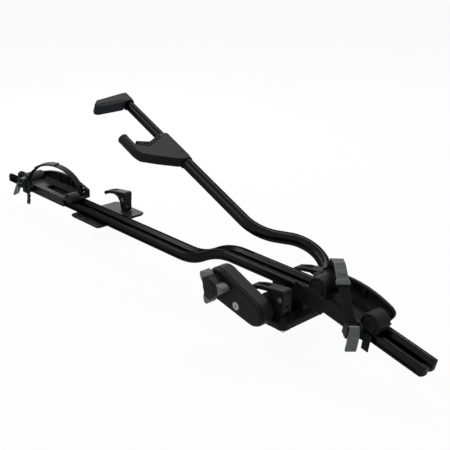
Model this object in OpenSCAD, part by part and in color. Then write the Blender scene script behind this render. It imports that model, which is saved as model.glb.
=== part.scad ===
// Roof mounted bike carrier: a bent aluminium rail on two clamping feet, with a wheel holder
// at each end and a pivoting frame arm whose jaw is drawn shut by a knob at the foot.
// Frame: +X to the front of the vehicle, +Z up, origin on the bar's top face under the arm pivot.

/* [Rail] */
// Width of the rail over its two ridges
rail_w = 52; // [50:1:54]
// Height of the rail
rail_h = 21; // [20:0.5:23]
// Wall of the extrusion
rail_wall = 2.2; // [1.8:0.1:2.6]
// Radius of the ridge crests
crest_r = 9; // [8:0.5:9.5]
// Half width of the groove between the ridges
groove_half = 5; // [4:0.5:6]
// Distance from the pivot back to the rail's rear cut
rail_rear = 1115; // [1090:5:1180]
// Height of the rail's rear run above the bars
rail_rear_z = 8.2; // [8:0.1:9]
// Distance from the pivot back to the foot of the step
step_start = 338; // [320:2:350]
// Bend radius at both ends of the step
step_r = 170; // [160:5:175]
// Turn of each of the step's bends
step_turn = 28.5; // [27.5:0.25:29]
// Straight ramp between the step's bends
step_ramp = 15.3; // [12:0.1:20]
// Distance from the pivot forward to the nose bend
nose_x = 51; // [48:1:54]
// Slope of the nose
nose_angle = 12.6; // [11:0.2:14]
// Bend radius of the nose
nose_r = 120; // [100:5:140]
// Straight length of the nose past its bend
nose_len = 256; // [250:2:300]
// Length of an end cap
cap_len = 14; // [12:1:18]
// Length of a cap's plug inside the rail
plug_len = 12; // [8:1:20]

/* [Front foot] */
// Length of the foot along the rail
foot_len = 108; // [106:2:114]
// Width of the foot along the bar
foot_w = 179; // [178:1:184]
// Height of the foot's base
foot_h = 22; // [21:0.5:23]
// Thickness of the rubber pads
pad_t = 3; // [2:0.5:4]
// Bevel round the top of the base
foot_bevel = 8; // [5:0.5:10]
// Height of the arm pivot above the bar
pivot_z = 39; // [38.5:0.5:39.5]
// Radius of the pivot barrel
barrel_r = 20; // [19.5:0.25:20.5]
// Near end of the pivot barrel
barrel_near = 78; // [77:0.5:79]
// Far end of the pivot barrel
barrel_far = 40; // [36:1:41]
// Half width of the saddle under the rail
saddle_half = 24; // [22:0.5:25]
// Wall of a pivot bush
bush_t = 2; // [1.5:0.25:2.25]

/* [Arm] */
// Angle of the arm above the rail, as shown
arm_angle = 24.6; // [20:0.2:40]
// Outer diameter of the arm tube
tube_od = 28; // [27:0.5:29]
// Wall of the arm tube
tube_wall = 1.94; // [1.8:0.02:2.2]
// Distance of the straight arm from the rail's centre
arm_y = 43; // [42:0.5:45]
// Radius of the big bend beside the foot
bend_a_r = 68.5; // [66:0.5:72]
// Turn of the big bend
bend_a_turn = 145.4; // [143:0.2:148]
// Radius of the bend into the straight
bend_b_r = 87; // [82:1:92]
// Straight length between the two bends
bend_gap = 30; // [26:0.5:34]
// Distance from the pivot to the end of the arm tube
tube_end = 514; // [510:1:518]
// Wall of the sliding inner tube
inner_wall = 1.8; // [1.4:0.1:2.4]
// Length of the inner tube inside the arm tube
inner_overlap = 78; // [78:1:84]
// Clear length of the inner tube between the claws, jaw open
jaw_gap = 142; // [134:1:146]

/* [Claws] */
// Half thickness of the claws
claw_half = 16.5; // [16:0.25:17]
// Length of the lower claw along the arm
claw_len = 98; // [96:1:100]
// Distance from the tube to the finger of the lower claw
finger_reach = 98.5; // [96:0.5:102]
// Radius of the finger
finger_r = 12.5; // [11.5:0.25:12.75]
// Length of the finger past its root
finger_len = 25; // [20:1:32]
// Reach of the upper claw from the tube
upper_reach = 97; // [95:0.5:102]
// Depth of the upper claw along the arm
upper_depth = 34; // [32:1:38]
// Thickness of the rubber claw pads
claw_pad_t = 9; // [8:0.5:11]

/* [Knob and housing] */
// Distance from the pivot to the knob's axis
knob_arm = 93; // [91:1:95]
// Drop of the knob's axis below the arm's plane
knob_drop = 17.5; // [17:0.25:18.5]
// Radius of the housing round the knob
house_knob_r = 36; // [35:0.5:37]
// Radius of the housing round the pivot
house_hub_r = 27; // [26.5:0.25:28]
// Far face of the housing
house_far = 91.5; // [91:0.25:92.5]
// Depth of the housing's body
house_d = 27; // [26:0.5:29]
// Depth of the housing's cover
cover_d = 7.5; // [7:0.5:9]
// Wall of the housing
house_wall = 3; // [2.5:0.25:3.5]
// Radius to the middle of the knob's lobe ends
lobe_reach = 30; // [28:0.5:32]
// Radius of a lobe's end
lobe_r = 9; // [8:0.5:10]
// Depth of the knob
knob_d = 22; // [18:1:26]
// Radius of the knob's shaft
knob_shaft_r = 6; // [5:0.25:7]
// Thickness of the drive cable
cable_d = 3; // [2.5:0.25:3.5]
// Radius of the arm's lock
lock_r = 8.5; // [7:0.25:9]

/* [Clamp levers] */
// Width of a clamp lever
lever_w = 24; // [23:0.5:25]
// Radius of a lever's pin
lever_pin_r = 3.5; // [3:0.25:4]
// Radius of an eye bolt's shank
shank_r = 4; // [3.5:0.25:4.5]
// Thickness of an eye bolt's eye
eye_t = 8; // [7:0.25:9]
// Distance of the front pins ahead of the pivot
lever_x = 34; // [34:0.25:35]
// Height of the front pins
lever_z = 36; // [35.5:0.25:36.5]
// Distance of the near lever from the rail's centre
lever_near_y = 68; // [66:1:69]
// Distance of the far lever from the rail's centre
lever_far_y = 58; // [57:1:60]
// Side of a T nut for the bar's track
tnut_w = 19; // [17:0.5:20]
// Thickness of a T nut
tnut_t = 5; // [4:0.5:6]
// Grip between a T nut and the foot
tnut_grip = 4; // [3:0.5:5]
// Radius of a lever's lock
lever_lock_r = 5.5; // [4.5:0.25:6]

/* [Rear foot] */
// Distance from the pivot back to the rear foot's middle
rear_foot_x = 700; // [690:5:720]
// Length of the rear foot along the rail
rear_foot_len = 127; // [124:1:132]
// Near edge of the rear foot
rear_foot_near = 46; // [44:1:50]
// Far edge of the rear foot
rear_foot_far = 107; // [104:1:112]
// Top of the rear foot's plate
rear_plate_z = 7.5; // [7:0.25:7.5]
// Distance of the rear lever from the rail's centre
rear_lever_y = 75; // [74:0.5:78]
// Height of the rear pin
rear_lever_z = 21; // [20.75:0.25:21.5]

/* [Wheel holders] */
// Wall of the holders' skirts
skirt_t = 3.5; // [3:0.25:4]
// Thickness of the holders' decks
deck_t = 4; // [3.5:0.25:5]
// Thickness of the holders' far wings
wing_t = 8; // [7:0.5:10]
// Width of a strap
strap_w = 22; // [20:0.5:24]
// Thickness of a strap
strap_t = 3; // [2.5:0.25:3.5]
// Pitch of the strap's teeth
tooth_pitch = 6; // [5:0.5:8]
// Radius of the front strap's turn
front_strap_r = 24; // [22:0.5:26]
// Height of the front strap's turn above the rail's underside
front_strap_top = 51; // [50:0.5:53]
// Radius of the rear strap's arch
rear_strap_r = 94; // [92:0.5:96]

/* [Hidden] */
$fn = 64;
run_fit = 0.06;
gap = 0.3;
far = 400;

black = "#1c1c1e";
satin = "#2a2b2d";
rubber = "#1e2025";
grey = "#626468";
steel = "#9a9ca0";

// Points along an arc
function arc(c, r, a0, a1, n = 8) =
  [for (i = [0 : n]) let (a = a0 + (a1 - a0) * i / n) c + r * [cos(a), sin(a)]];
// The same points mirrored in the second axis and taken backwards
function flipped(p) = [for (i = [len(p) - 1 : -1 : 0]) [-p[i][0], p[i][1]]];

// Rail section, drawn as width and height, with a groove above and a T slot below
slot_half = 6;
slot_in = 11;
slot_h = 4;
slot_top = rail_wall + slot_h;
floor_z = slot_top + rail_wall;
rail_chamfer = 1.5;
track_d = 2;
track_low = 6;
track_high = 9;
slope_turn = 125;
crest = [rail_w / 2 - crest_r, rail_h - crest_r];
slope_start = crest + crest_r * [cos(slope_turn), sin(slope_turn)];
edge_z = slope_start[1] + (slope_start[0] - groove_half) / sin(slope_turn) * cos(slope_turn);
ridge_half = concat(
  [[rail_w / 2 - rail_chamfer, 0], [rail_w / 2, rail_chamfer], [rail_w / 2, track_low],
   [rail_w / 2 - track_d, track_low], [rail_w / 2 - track_d, track_high], [rail_w / 2, track_high]],
  arc(crest, crest_r, 0, slope_turn, 12),
  [[groove_half, edge_z], [groove_half, floor_z]]);
slot_side = [[slot_in, slot_top], [slot_in, rail_wall], [slot_half, rail_wall], [slot_half, 0]];
rail_outline = concat(slot_side, ridge_half, flipped(ridge_half), flipped(slot_side));
cap_outline = concat(ridge_half, flipped(ridge_half));
function chamber(cl) = concat(
  [[slot_in + rail_wall + cl, rail_wall + cl],
   [rail_w / 2 - track_d - rail_wall - cl, rail_wall + cl],
   [rail_w / 2 - track_d - rail_wall - cl, track_high]],
  arc(crest, crest_r - rail_wall - cl, 0, 120, 10));

module rail_section() {
  difference() {
    polygon(rail_outline);
    polygon(chamber(0));
    mirror([1, 0]) polygon(chamber(0));
  }
}

// Places along the rail
step_rise = 2 * step_r * (1 - cos(step_turn)) + step_ramp * sin(step_turn);
step_len = 2 * step_r * sin(step_turn) + step_ramp * cos(step_turn);
rail_mid_z = rail_rear_z + step_rise;
step_end = step_len - step_start;
nose_bend_x = nose_x - nose_r * tan(nose_angle / 2);
module along_x() { rotate([90, 0, 90]) children(); }
module at_nose() {
  translate([nose_bend_x, 0, rail_mid_z + rail_h / 2 - nose_r])
    rotate([0, nose_angle, 0])
      translate([0, 0, nose_r - rail_h / 2])
        children();
}
module at_rear() { translate([0, 0, rail_rear_z]) children(); }

// Straight length of the rail, with what follows it as a child
module straight(l) {
  along_x() linear_extrude(l) rail_section();
  translate([l, 0, 0]) children();
}
// Weld over the small slit left at each end of a bend
slit = 0.2;
weld_l = 1.2;
weld_rise = 0.05;
function slit_turn(r) = asin(slit / r);
module rail_weld() {
  translate([-weld_l / 2, 0, 0]) along_x()
    linear_extrude(weld_l) translate([0, -0.08]) scale([1.002, 1.006]) rail_section();
}
// Bends of the rail, with what follows as a child
module bend_up(r, turn) {
  centre = rail_h / 2 + r;
  rail_weld();
  translate([0, 0, centre])
    rotate([90, 0, 0]) rotate([0, 0, slit_turn(r) - 90])
      rotate_extrude(angle = turn - 2 * slit_turn(r)) translate([centre, 0]) rotate(90) rail_section();
  translate([0, 0, centre]) rotate([0, -turn, 0]) translate([0, 0, -centre]) {
    rail_weld();
    children();
  }
}
module bend_down(r, turn) {
  centre = rail_h / 2 - r;
  rail_weld();
  translate([0, 0, centre]) mirror([1, 0, 0])
    rotate([90, 0, 0]) rotate([0, 0, 90 + slit_turn(r)])
      rotate_extrude(angle = turn - 2 * slit_turn(r)) translate([-centre, 0]) rotate(-90) rail_section();
  translate([0, 0, centre]) rotate([0, turn, 0]) translate([0, 0, -centre]) {
    rail_weld();
    children();
  }
}
module rail() {
  color(satin)
    translate([-rail_rear, 0, rail_rear_z])
      straight(rail_rear - step_start)
        bend_up(step_r, step_turn)
          straight(step_ramp)
            bend_down(step_r, step_turn)
              straight(nose_bend_x - step_end)
                bend_down(nose_r, nose_angle)
                  straight(nose_len);
}

// End cap: two rounded lobes over the rail's end, with a plug in each chamber
cap_lobe_r = 20;
cap_lobe_y = 12;
module end_cap() {
  color(black) {
    intersection() {
      along_x() linear_extrude(cap_len) polygon(cap_outline);
      linear_extrude(rail_h)
        for (side = [-1, 1])
          translate([cap_len - cap_lobe_r, side * cap_lobe_y]) circle(cap_lobe_r);
    }
    for (side = [0, 1])
      mirror([0, side, 0]) translate([-plug_len, 0, 0]) along_x()
        linear_extrude(plug_len + 1) polygon(chamber(gap));
  }
}
module front_end_cap() { at_nose() translate([nose_len, 0, 0]) end_cap(); }
module rear_end_cap() { translate([-rail_rear, 0, rail_rear_z]) rotate([0, 0, 180]) end_cap(); }

// Shapes along the bar's direction
module along_y(y0, d) { translate([0, y0, 0]) rotate([90, 0, 0]) linear_extrude(d) children(); }
module cyl_y(r, y0, y1) { translate([0, y0, 0]) rotate([-90, 0, 0]) cylinder(r = r, h = y1 - y0); }
module across(w) { along_y(w / 2, w) children(); }
// Rounded oblong in plan
module block_plan(l, y0, y1, r) {
  translate([r - l / 2, y0]) square([l - 2 * r, y1 - y0]);
  translate([-l / 2, y0 + r]) square([l, y1 - y0 - 2 * r]);
  for (sx = [-1, 1], y = [y0 + r, y1 - r]) translate([sx * (l / 2 - r), y]) circle(r);
}

// Front foot: bevelled base, saddle under the rail and the barrel that the arm turns in
foot_corner = 14;
sleeve_r = barrel_r + 0.5;
ring_r = barrel_r + 2;
ring_w = 8;
web_half = 17;
bush_r = tube_od / 2 + run_fit + bush_t;
bush_len = 20;
saddle_top = rail_mid_z - run_fit / 2;
saddle_end = 45;
saddle_run = [-40, 36];
cam_r = 8;
cam_offset = 3;
cam_gap = 0.5;
cam_depth = cam_offset + cam_r + cam_gap;
seat_half = 11;
shank_end = -tnut_grip - tnut_t;
rail_bolt_x = 30;
rail_bolt_r = 2.5;
bolt_head_r = 4.25;
bolt_head_h = 4;
bolt_head_z = foot_h + 28;
module bevelled_end(w, z0, z1, bevel) {
  polygon([[-w / 2, z0], [w / 2, z0], [w / 2, z1 - bevel], [w / 2 - bevel, z1], [bevel - w / 2, z1],
    [-w / 2, z1 - bevel]]);
}
module lever_seat(x, y, z_pin, z0) {
  translate([x - seat_half, y - lever_w / 2, z0 - 1])
    cube([2 * seat_half, lever_w, z_pin - cam_depth - z0 + 1]);
}
module foot_base() {
  intersection() {
    translate([0, 0, pad_t])
      linear_extrude(foot_h - pad_t) block_plan(foot_len, -foot_w / 2, foot_w / 2, foot_corner);
    across(foot_w) bevelled_end(foot_len, pad_t, foot_h, foot_bevel);
    translate([-foot_len / 2, 0, 0]) along_x()
      linear_extrude(foot_len) bevelled_end(foot_w, pad_t, foot_h, foot_bevel);
  }
}
module front_foot() {
  color(black)
    difference() {
      union() {
        foot_base();
        across(2 * saddle_half)
          polygon([[-saddle_end, foot_h - 1], [saddle_end, foot_h - 1], [saddle_end, foot_h + 8],
            [saddle_run[1], saddle_top], [saddle_run[0], saddle_top], [-saddle_end, foot_h + 12]]);
        translate([0, 0, pivot_z]) {
          cyl_y(barrel_r, -barrel_near, barrel_far);
          cyl_y(ring_r, -barrel_near, ring_w - barrel_near);
        }
        translate([-web_half, 2 - barrel_near, foot_h - 1])
          cube([2 * web_half, barrel_near + barrel_far - 4, pivot_z - foot_h]);
        lever_seat(lever_x, -lever_near_y, lever_z, foot_h);
        lever_seat(lever_x, lever_far_y, lever_z, foot_h);
      }
      translate([0, 0, pivot_z]) {
        cyl_y(bush_r + run_fit, -barrel_near - 1, barrel_far + 1);
        cyl_y(sleeve_r + 1, -foot_w / 2 - 1, -barrel_near);
      }
      for (x = [-rail_bolt_x, rail_bolt_x]) {
        translate([x, 0, -1]) cylinder(r = bolt_head_r + gap, h = bolt_head_z + 1);
        translate([x, 0, bolt_head_z - 1]) cylinder(r = rail_bolt_r + run_fit, h = rail_mid_z);
      }
      for (y = [-lever_near_y, lever_far_y])
        translate([lever_x, y, 0]) cylinder(r = shank_r + run_fit, h = lever_z);
      translate([-far / 2, -rail_w / 2 - 1, saddle_top]) cube([far, rail_w + 2, far]);
    }
}
module front_foot_pad() {
  color(rubber)
    difference() {
      linear_extrude(pad_t) block_plan(foot_len - 2, 1 - foot_w / 2, foot_w / 2 - 1, foot_corner - 1);
      for (y = [-lever_near_y, lever_far_y])
        translate([lever_x, y, -1]) cylinder(r = shank_r + 1, h = pad_t + 2);
    }
}
module pivot_bushes() {
  color(grey)
    translate([0, 0, pivot_z])
      for (y = [-barrel_near, barrel_far - bush_len])
        difference() {
          cyl_y(bush_r, y, y + bush_len);
          cyl_y(tube_od / 2 + run_fit, y - 1, y + bush_len + 1);
        }
}
// Nut plate in the rail's T slot, and the two bolts that hold the rail on the saddle
slot_plate_t = slot_h - 2 * gap;
module slot_plate(l, bolts) {
  color(steel)
    difference() {
      translate([-l / 2, gap - slot_in, rail_wall + gap]) cube([l, 2 * (slot_in - gap), slot_plate_t]);
      for (x = bolts) translate([x, 0, 0]) cylinder(r = rail_bolt_r + run_fit, h = rail_h);
    }
}
rail_bolts_at = [-rail_bolt_x, rail_bolt_x];
slot_plate_top = rail_wall + gap + slot_plate_t;
module rail_nut_plate() { translate([0, 0, rail_mid_z]) slot_plate(2 * rail_bolt_x + 12, rail_bolts_at); }
module rail_bolts() {
  color(steel)
    for (x = rail_bolts_at)
      translate([x, 0, bolt_head_z - bolt_head_h]) {
        cylinder(r = bolt_head_r, h = bolt_head_h);
        cylinder(r = rail_bolt_r, h = rail_mid_z + slot_plate_top - bolt_head_z + bolt_head_h);
      }
}

// Wheel holder in the rail's frame, where z = 0 is the rail's underside
deck_z = rail_h + 0.6;
skirt_in = rail_w / 2 + 1.5;
skirt_out = skirt_in + skirt_t;
tongue_in = rail_w / 2 - track_d + 1;
tongue_low = track_low + 0.4;
tongue_high = track_high - 0.4;
module box(x, y, z) {
  translate([x[0], y[0], z[0]]) cube([x[1] - x[0], y[1] - y[0], z[1] - z[0]]);
}
module holder_shell(deck, skirt, tongue, low) {
  box(deck, [-skirt_out, skirt_out], [deck_z, deck_z + deck_t]);
  for (side = [0, 1])
    mirror([0, side, 0]) {
      box(skirt, [skirt_in, skirt_out], [low, deck_z + deck_t]);
      box(tongue, [tongue_in, skirt_in + 1], [tongue_low, tongue_high]);
    }
}
// Hump across the deck that the tyre sits against, with a ring cut in its near end
module hump(x, z, r, y1) {
  intersection() {
    difference() {
      translate([x, 0, z]) cyl_y(r, -skirt_in, y1);
      translate([x, 0, z])
        difference() {
          cyl_y(r - 4, -skirt_in - 1, 3 - skirt_in);
          cyl_y(r - 9, -skirt_in - 2, 4 - skirt_in);
        }
    }
    box([x - 2 * r, x + 2 * r], [-skirt_out, skirt_out], [deck_z, z + 2 * r]);
  }
}
// Far wing with an arched top, pocketed on the side of the wheel
module wing_outline(w, inset) {
  half = (w[1] - w[0]) / 2;
  drop = w[2] - w[3];
  r = (half * half + drop * drop) / (2 * drop);
  intersection() {
    translate([w[0] + inset, deck_z]) square([2 * (half - inset), w[2] - deck_z]);
    translate([w[0] + half, w[2] - r]) circle(r = r - inset);
  }
}
module wing(w, bays) {
  difference() {
    along_y(skirt_in + wing_t, wing_t) wing_outline(w, 0);
    for (bay = bays)
      along_y(skirt_in + wing_t - 2.5, wing_t)
        intersection() {
          wing_outline(w, 4);
          translate([bay[0], bay[2]]) square([bay[1] - bay[0], w[2]]);
        }
  }
}
// Sloping flank from the deck up to the wing
flank_rise = deck_z + deck_t + 8;
module flank(x0, x1) {
  translate([x0, 0, 0]) along_x() linear_extrude(x1 - x0)
    polygon([[skirt_in / 2, deck_z + 1], [skirt_in + 1, deck_z + 1], [skirt_in + 1, flank_rise],
      [skirt_in - 4, flank_rise]]);
}

// Straps run in upright planes from a buckle on the near side to an anchor on the far side
front_buckle_at = [123, -skirt_out - 16];
front_anchor_at = [-8, skirt_out + 5];
rear_buckle_at = [-981, -skirt_out - 17.5];
rear_anchor_at = [-813, 24];
function heading(a, b) = atan2(b[1] - a[1], b[0] - a[0]);
module at_strap(a, b) { translate([a[0], a[1], 0]) rotate([0, 0, heading(a, b)]) children(); }
module at_front_strap() { at_nose() at_strap(front_buckle_at, front_anchor_at) children(); }
module at_rear_strap() { at_rear() at_strap(rear_buckle_at, rear_anchor_at) children(); }
front_span = norm(front_anchor_at - front_buckle_at);
rear_span = norm(rear_anchor_at - rear_buckle_at);
front_turn_c = [front_span - front_strap_r, front_strap_top];
front_entry = [0, 16];
front_reach = front_turn_c - front_entry;
front_slope = atan2(front_reach[1], front_reach[0]) + asin(front_strap_r / norm(front_reach));
strap_dir = [cos(front_slope), sin(front_slope)];
front_turn_start = front_turn_c + front_strap_r * [-strap_dir[1], strap_dir[0]];
front_low = -4;
front_run = (front_turn_start[0] - front_low) / strap_dir[0];
front_anchor_z = 42;
rear_arch_c = [95.4, 4.8];
rear_arch_from = 160;
rear_arch_to = acos((rear_span - rear_arch_c[0]) / rear_strap_r);
rear_anchor_z = 34;
eye_r = 5;
strap_pin_r = 2;
front_pin = [-6, 24.5];
rear_pin = [-9, 43];
front_base_z = 6.5;
rear_base_z = 23;
base_t = 2.5;

// Centre lines of the two straps
front_line = concat([front_turn_start - front_run * strap_dir],
  arc(front_turn_c, front_strap_r, 90 + front_slope, 0, 14), [[front_span, front_anchor_z]]);
rear_line = concat(arc(rear_arch_c, rear_strap_r, rear_arch_from, rear_arch_to, 24),
  [[rear_span, rear_anchor_z]]);
// Outline of a band of thickness t along a line of points
function side_dir(p, i) =
  let (a = p[max(i - 1, 0)], b = p[min(i + 1, len(p) - 1)], d = (b - a) / norm(b - a)) [-d[1], d[0]];
function band(p, t) = concat(
  [for (i = [0 : len(p) - 1]) p[i] + side_dir(p, i) * t / 2],
  [for (i = [len(p) - 1 : -1 : 0]) p[i] - side_dir(p, i) * t / 2]);
tooth_h = 1.2;
tooth_side = 3;
module strap_teeth(from, dir, n) {
  translate([from[0], 0, from[1]]) rotate([0, -dir, 0])
    for (i = [0 : n - 1])
      translate([i * tooth_pitch, tooth_side - strap_w / 2, strap_t / 2 - 0.5])
        cube([tooth_pitch / 2, strap_w - 2 * tooth_side, tooth_h + 0.5]);
}
module strap_band(line) {
  end = line[len(line) - 1];
  difference() {
    across(strap_w)
      union() {
        polygon(band(line, strap_t));
        translate(end) circle(eye_r);
      }
    translate([end[0], 0, end[1]]) cyl_y(strap_pin_r + run_fit, -far, far);
  }
}
// Loose tail of a strap beside its buckle, folded over a strip that joins it to the band
tail_w = 17;
tail_knee = 3;
strip_in = 0.4;
module strap_tail(join, x, y, top, low, strip_z, slant) {
  box([join, x + tail_w / 2], [y + strip_in, y + strap_t - strip_in],
    [strip_z + strip_in, strip_z + strap_t - strip_in]);
  along_y(y + strap_t, strap_t)
    polygon([[x, top], [x + tail_w, top], [x + tail_w, tail_knee], [x + tail_w - slant, low],
      [x - slant, low], [x, tail_knee]]);
}
front_strip_z = front_line[0][1] - strap_t / 2;
rear_strip_z = rear_line[0][1] - strap_t;
module front_strap() {
  color(black) {
    at_front_strap() {
      strap_band(front_line);
      strap_teeth(front_line[0] + 4 * tooth_pitch * strap_dir, front_slope, 11);
      box([front_low - 2, front_low + 6], [-strap_w / 2 - 2, strap_w / 2 - 1],
        [front_strip_z, front_strip_z + strap_t]);
    }
    at_nose()
      strap_tail(front_buckle_at[0] + 8, front_buckle_at[0] + 22, front_buckle_at[1] + 9.5,
        22, -16, front_strip_z, -3);
  }
}
module rear_strap() {
  color(black) {
    at_rear_strap() {
      strap_band(rear_line);
      box([rear_line[0][0] - 3, rear_line[0][0] + 3], [1 - strap_w / 2, strap_w / 2 - 1],
        [rear_strip_z, rear_strip_z + strap_t]);
    }
    at_rear()
      strap_tail(rear_buckle_at[0] + 5, rear_buckle_at[0] + 11, rear_buckle_at[1] - 3,
        45, -27, rear_strip_z, 14);
  }
}
// Rim pads on the straps
rim_pad_t = 3;
rim_pad_l = 40;
pad_lug = 9;
module pad_plan(l) {
  for (x = [0, l - pad_lug]) translate([x, -strap_w / 2 - 3]) square([pad_lug, strap_w + 6]);
  translate([pad_lug - 1, 1 - strap_w / 2]) square([l - 2 * pad_lug + 2, strap_w - 2]);
}
module front_strap_pad() {
  color(grey)
    at_front_strap() translate([front_turn_start[0], 0, front_turn_start[1]]) rotate([0, -front_slope, 0])
      translate([-rim_pad_l, 0, strap_t / 2]) linear_extrude(rim_pad_t) pad_plan(rim_pad_l);
}
rear_pad_from = 122;
rear_pad_to = 82;
module rear_strap_pad() {
  color(grey)
    at_rear_strap()
      across(strap_w + 4)
        polygon(concat(
          arc(rear_arch_c, rear_strap_r + strap_t / 2 + rim_pad_t, rear_pad_from, rear_pad_to, 10),
          arc(rear_arch_c, rear_strap_r + strap_t / 2 + gap, rear_pad_to, rear_pad_from, 10)));
}
// Buckle: two cheeks on a base, with a pin for the lever and a notch for the strap's strip
cheek_t = 3;
cheek_in = strap_w / 2 + 1.4;
cheek_out = cheek_in + cheek_t;
buckle_front = 8;
module buckle(pin, base, strip_z) {
  color(black)
    difference() {
      union() {
        for (side = [0, 1])
          mirror([0, side, 0]) along_y(cheek_out, cheek_t)
            polygon([[pin[0] - 8, base], [buckle_front, base], [buckle_front, pin[1] - 4],
              [pin[0] + 7, pin[1] + 7], [pin[0] - 6, pin[1] + 7], [pin[0] - 8, pin[1] + 3]]);
        box([-5, buckle_front], [-cheek_out, cheek_out], [base, base + base_t]);
      }
      translate([pin[0], 0, pin[1]]) cyl_y(strap_pin_r + run_fit, -far, far);
      box([-far, front_low + 7], [-far, -cheek_in + 1], [strip_z - gap, strip_z + strap_t + gap]);
    }
}
module strap_pins(pin, at, z, outer) {
  color(steel) {
    translate([pin[0], 0, pin[1]]) cyl_y(strap_pin_r, -cheek_out, cheek_out);
    translate([at, 0, z]) cyl_y(strap_pin_r, -strap_w / 2, outer);
  }
}
module buckle_lever(pin, lean, l) {
  color(grey)
    translate([pin[0], 0, pin[1]]) rotate([0, lean, 0])
      difference() {
        union() {
          cyl_y(eye_r, -strap_w / 2 - 0.8, strap_w / 2 + 0.8);
          across(strap_w) polygon(band([[-2, 0], [-5, -12], [-6, -28], [-4, -l]], 5));
        }
        cyl_y(strap_pin_r + run_fit, -far, far);
      }
}
// Ear on a holder that carries a strap's anchor pin
ear_in = strap_w / 2 + 1.2;
ear_t = 5;
module anchor_ear(at, z) {
  along_y(ear_in + ear_t, ear_t)
    difference() {
      union() {
        translate([at, z]) circle(eye_r + 1);
        translate([at - eye_r - 1, deck_z + 1]) square([2 * eye_r + 2, z - deck_z - 1]);
      }
      translate([at, z]) circle(strap_pin_r + run_fit);
    }
}
// Way through a holder for a strap and its anchor pin
way_gap = 0.8;
module strap_way(line) {
  end = line[len(line) - 1];
  across(strap_w + 2 * way_gap)
    union() {
      polygon(band(line, strap_t + 2 * (tooth_h + way_gap)));
      translate(end) circle(eye_r + way_gap);
    }
  translate([end[0], 0, end[1]]) cyl_y(strap_pin_r + run_fit, -ear_in - 1, ear_in + ear_t + 1);
}
// Room in a holder for a buckle and its lever
module buckle_way(pin, base) {
  wide = cheek_out + way_gap;
  box([pin[0] - 8 - way_gap, buckle_front + way_gap], [-wide, wide], [base, base + 30]);
  box([pin[0] - 20, pin[0] - 0.5], [-strap_w / 2 - 2, strap_w / 2 + 2], [-far, base]);
}
front_hump_r = 22;
front_hump_z = 34;
front_hump_x = [14, 144];
front_wing = [12, 156, 60, 49];
front_bays = [[18, 50, 36], [56, 76, 36], [86, 150, 36]];
front_skirt = [-14, 150];
near_plate = [-38, 39];
module front_wheel_holder() {
  color(black)
    difference() {
      union() {
        at_nose() {
          holder_shell([-8, 158], front_skirt, [4, 150], -4);
          box(near_plate, [-skirt_out, -skirt_in], [-12, 22]);
          for (x = front_hump_x) hump(x, front_hump_z, front_hump_r, skirt_in - 3);
          wing(front_wing, front_bays);
          flank(28, 130);
          box([-34, -4], [skirt_in / 2, skirt_out], [deck_z, deck_z + deck_t]);
          box([front_buckle_at[0] - 11, front_buckle_at[0] + 11],
            [front_buckle_at[1] - 6, 1 - skirt_out], [-4, front_base_z]);
        }
        at_front_strap() anchor_ear(front_span, front_anchor_z);
      }
      at_front_strap() {
        strap_way(front_line);
        buckle_way(front_pin, front_base_z);
      }
    }
}
holder_screws_at = [8, 110];
screw_z = 3;
module front_holder_screws() {
  color(steel)
    at_nose()
      for (x = holder_screws_at)
        translate([x, 0, screw_z]) cyl_y(3.5, skirt_out, skirt_out + 2);
}
module front_strap_pins() {
  at_front_strap() strap_pins(front_pin, front_span, front_anchor_z, ear_in + ear_t);
}
module front_buckle() { at_front_strap() buckle(front_pin, front_base_z, front_strip_z); }
module front_buckle_lever() { at_front_strap() buckle_lever(front_pin, 8, 46); }

rear_wing = [-1016, -786, 62, 44];
rear_bays = [[-1006, -934, 30], [-926, -894, 30], [-886, -870, 30], [-862, -796, 30]];
rear_hump_z = 24;
module rear_wheel_holder() {
  color(black)
    difference() {
      union() {
        at_rear() {
          holder_shell([-1044, -784], [-994, -818], [-990, -822], 0.5);
          hump(-1022, rear_hump_z, 23, skirt_in);
          hump(-798, rear_hump_z, 18, 3);
          wing(rear_wing, rear_bays);
          flank(-996, -826);
          box([rear_buckle_at[0] - 10, rear_buckle_at[0] + 10],
            [rear_buckle_at[1] - 7, 1 - skirt_out], [6, rear_base_z]);
        }
        at_rear_strap() anchor_ear(rear_span, rear_anchor_z);
      }
      at_rear() box([-936, -842], [-12, 12], [0, far]);
      at_rear_strap() strap_way(rear_line);
    }
}
module rear_strap_pins() { at_rear_strap() strap_pins(rear_pin, rear_span, rear_anchor_z, ear_in + ear_t); }
module rear_buckle() { at_rear_strap() buckle(rear_pin, rear_base_z, rear_strip_z); }
module rear_buckle_lever() { at_rear_strap() buckle_lever(rear_pin, 26, 57); }

// Frame arm, drawn flat along the rail with the pivot at the origin and then raised
module at_arm() { translate([0, 0, pivot_z]) rotate([0, arm_angle, 0]) children(); }
bend_tilt = bend_a_turn - 90;
pivot_run = arm_y + bend_b_r * (1 - cos(bend_tilt)) + bend_gap * sin(bend_tilt)
  - bend_a_r * sin(bend_a_turn);
straight_from = bend_a_r * (1 - cos(bend_a_turn)) + bend_gap * sin(bend_a_turn)
  + bend_b_r * sin(bend_tilt);
tube_near = house_far + 3.5;
module ring_section(r, wall) {
  difference() {
    circle(r);
    if (wall > 0) circle(r - wall);
  }
}
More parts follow.
